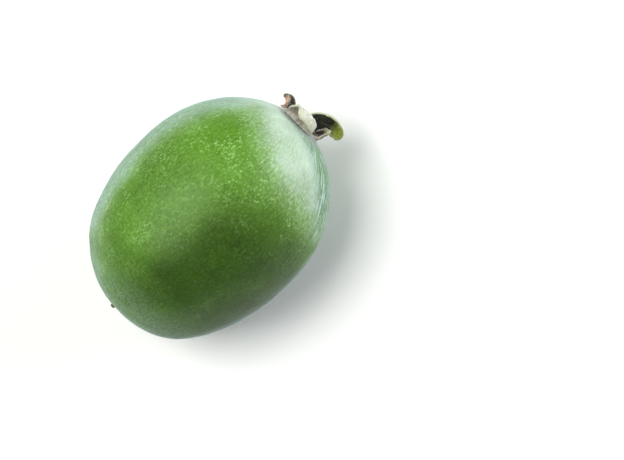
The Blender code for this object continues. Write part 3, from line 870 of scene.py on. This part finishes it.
def lobe_hairs(name, grid, normal, material, count, seed):
    """White hairs of a lobe: on both faces, and thicker along its margins."""
    dice = np.random.default_rng(seed)
    rows, columns = grid.shape[:2]
    row = dice.integers(6, rows - 2, count)
    margin = dice.random(count) < 0.6
    spot = np.where(
        margin,
        np.where(dice.random(count) < 0.5, 0, columns // 2) + dice.integers(-5, 6, count),
        dice.integers(0, columns, count),
    ) % columns
    roots = grid[row, spot]
    centre_line = grid[row].mean(axis=1)
    ahead = unit(grid[np.minimum(row + 1, rows - 1), spot] - roots)
    face = np.sin(2 * np.pi * spot / columns)[:, None]
    outwards = unit(roots - centre_line) * (1 - np.abs(face)) + normal[row, spot] * face
    headings = unit(0.8 * outwards + 0.45 * ahead + dice.normal(0, 0.25, (count, 3)))
    lengths = dice.uniform(0.15, 0.45, count)
    roots = roots - headings * 0.03
    hairs(f"{name}_hairs", roots, headings, lengths, 0.032, material)


def stub_surface(name, node, foot, heading, radius, length, flare, phase, material):
    """A broken dry stub: circles carried along a straight line, wider at the foot and
    closed by a torn end, with fibres as ridges along it. flare is how much wider it is at
    the foot, and phase turns its torn edge."""
    heading = unit(np.array(heading))
    side = unit(np.cross(heading, [0, 0, 1.0]))
    other = np.cross(heading, side)
    t, turn = np.meshgrid(
        np.linspace(0, 1, STUB_ROWS),
        2 * np.pi * np.arange(STUB_COLUMNS) / STUB_COLUMNS,
        indexing="ij",
    )
    body = np.clip(t / STUB_BODY, 0, 1)
    cap = np.clip((t - STUB_BODY) / (1 - STUB_BODY), 0, 1)
    fibres = 1 + 0.06 * np.cos(9 * turn + 2 * body) + 0.035 * np.cos(17 * turn + 1.0)
    wide = radius * (1 + flare * np.exp(-body * 3.2)) * (1 - 0.18 * body)
    wide = wide * fibres * np.sqrt(np.clip(1 - cap**2.2, 0, 1))
    torn = 0.16 * radius * (np.cos(3 * turn + phase) + 0.6 * np.cos(7 * turn)) * body**3
    rise = length * (body * 0.92 + 0.08 * cap) + torn * (1 - cap)
    grid = (
        np.array(foot)
        + heading * rise[..., None]
        + side * (wide * np.cos(turn))[..., None]
        + other * (wide * np.sin(turn))[..., None]
    )
    grid[0] = np.array(foot)
    grid[-1] = grid[-1].mean(axis=0)
    piece = put(name, *closed_surface(grid), material)
    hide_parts(node)


def floor():
    """A plain pale matt floor under the fruit."""
    half = FLOOR_WIDTH / 2
    mesh = bpy.data.meshes.new("floor")
    corners = [(-half, -half, 0), (half, -half, 0), (half, half, 0), (-half, half, 0)]
    mesh.from_pydata(corners, [], [(0, 1, 2, 3)])
    mesh.materials.append(new_material("pale_matt_paper", {
        "Base Color": linear("#f8f8f7"), "Roughness": 0.9, "Specular IOR Level": 0.1,
    })[0])
    plane = bpy.data.objects.new("floor", mesh)
    bpy.context.scene.collection.objects.link(plane)


def softbox(name, direction, size, power, colour):
    """An area light that faces the fruit from a direction."""
    lamp = bpy.data.lights.new(name, "AREA")
    lamp.shape = "RECTANGLE"
    lamp.size, lamp.size_y = size
    lamp.energy = power
    lamp.color = linear(colour)[:3]
    box = bpy.data.objects.new(name, lamp)
    back = Vector(direction).normalized()
    box.location = centre + back * SOFTBOX_DISTANCE
    box.rotation_mode = "QUATERNION"
    box.rotation_quaternion = back.to_track_quat("Z", "Y")
    box.visible_camera = False
    bpy.context.scene.collection.objects.link(box)


def camera():
    """The scene's camera, which sees the fruit a little to the left of and above its middle."""
    back = Vector(CAMERA_BACK).normalized()
    level = (Vector((1, 0, 0)) - back * back.x).normalized()
    upright = back.cross(level)
    roll = math.radians(CAMERA_ROLL)
    right = level * math.cos(roll) - upright * math.sin(roll)
    up = level * math.sin(roll) + upright * math.cos(roll)
    data = bpy.data.cameras.new("camera")
    data.lens = CAMERA_LENS
    data.sensor_width = SENSOR_WIDTH
    viewer = bpy.data.objects.new("camera", data)
    aim = centre + right * FRUIT_LEFT_OF_VIEW - up * FRUIT_ABOVE_VIEW
    turned = Matrix((right, up, back)).transposed().to_4x4()
    turned.translation = aim + back * CAMERA_DISTANCE
    viewer.matrix_world = turned
    bpy.context.scene.collection.objects.link(viewer)
    bpy.context.scene.camera = viewer


# Where the fruit lies: rest_height is its flat spot's height in its own frame, and placed
# moves that frame, in mm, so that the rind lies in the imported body's box.
coarse = rind(*np.meshgrid(rind_rows(), np.linspace(0, 2 * np.pi, 181), indexing="ij"))
rest_height = coarse[..., 2].min() + FLAT_DEPTH
body_low, body_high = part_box("fruit_body")
centre = (body_low + body_high) / 2
placed = np.array([
    centre.x / MM - (coarse[..., 0].min() + coarse[..., 0].max()) / 2,
    centre.y / MM - (coarse[..., 1].min() + coarse[..., 1].max()) / 2,
    body_low.z / MM - rest_height,
])
lobe_foot_x = FRUIT_LENGTH + COLLAR_HEIGHT - LOBE_SINK

stalk_look = stalk_material()
hair_look = hair_material()
berry(rind_material())

# Each lobe's felt: outer face and inner face, each mat and worn, then margin and tip.
LOBE_LOOKS = {
    "sepal_large_under": felt_material(
        "calyx_felt_open",
        ("#8e9a72", "#6c7752"), ("#12180a", "#1f200f"), "#c9d0ae", "#768229", 0.66,
    ),
    "sepal_small_left": felt_material(
        "calyx_felt_curled",
        ("#c39c85", "#a8826c"), ("#4c463c", "#2c2822"), "#6a5f50", "#574d41",
    ),
    "sepal_small_right": felt_material(
        "calyx_felt_cupped",
        ("#8c9683", "#6a7263"), ("#3a2a26", "#241c16"), "#d9c0ad", "#d7d59c",
    ),
}
for number, (name, lobe) in enumerate(SEPALS.items()):
    surface = lobe_surface(name, lobe_middle, lobe, LOBE_LOOKS[name], 11 + number)
    lobe_hairs(name, *surface, hair_look, 700, 31 + number)
# The rolled lobe's felt, with painted shade browning its outer face under the brim.
hood_look = felt_material(
    "calyx_felt_rolled",
    ("#b5b3a6", "#8b8676"), ("#dadccf", "#b4b5a6"), "#d0d1c6", "#d0d1b9", fold_shade="#54493b",
)
surface = lobe_surface("sepal_large_upper", hood_middle, HOOD, hood_look, 21)
lobe_hairs("sepal_large_upper", *surface, hair_look, 1300, 41)
collar_hairs(hair_look)
stamen_stubs(stalk_look)

stem_lean = math.radians(STEM_LEAN)
stub_surface(
    "stem_stub_fibres", "stem_stub", (DIMPLE_DEPTH + 0.5, END_SHIFT, 0),
    (-math.cos(stem_lean), 0, -math.sin(stem_lean)), STEM_RADIUS, STEM_LENGTH, 0.9, 0.4,
    stalk_look,
)
stub_surface(
    "style_stub_fibres", "style_stub",
    (FRUIT_LENGTH + COLLAR_HEIGHT - CUP_DEPTH - 0.1, END_SHIFT, 0),
    STYLE_HEADING, STYLE_RADIUS, STYLE_LENGTH, 0.6, 1.9, stalk_look,
)

floor()
camera()
for name, box in SOFTBOXES.items():
    softbox(name, *box)
world = bpy.data.worlds.new("studio")
world.use_nodes = True
studio = world.node_tree.nodes["Background"].inputs
studio["Color"].default_value = linear(STUDIO_COLOUR)
studio["Strength"].default_value = STUDIO_STRENGTH
bpy.context.scene.world = world
bpy.context.scene.view_settings.view_transform = "Standard"
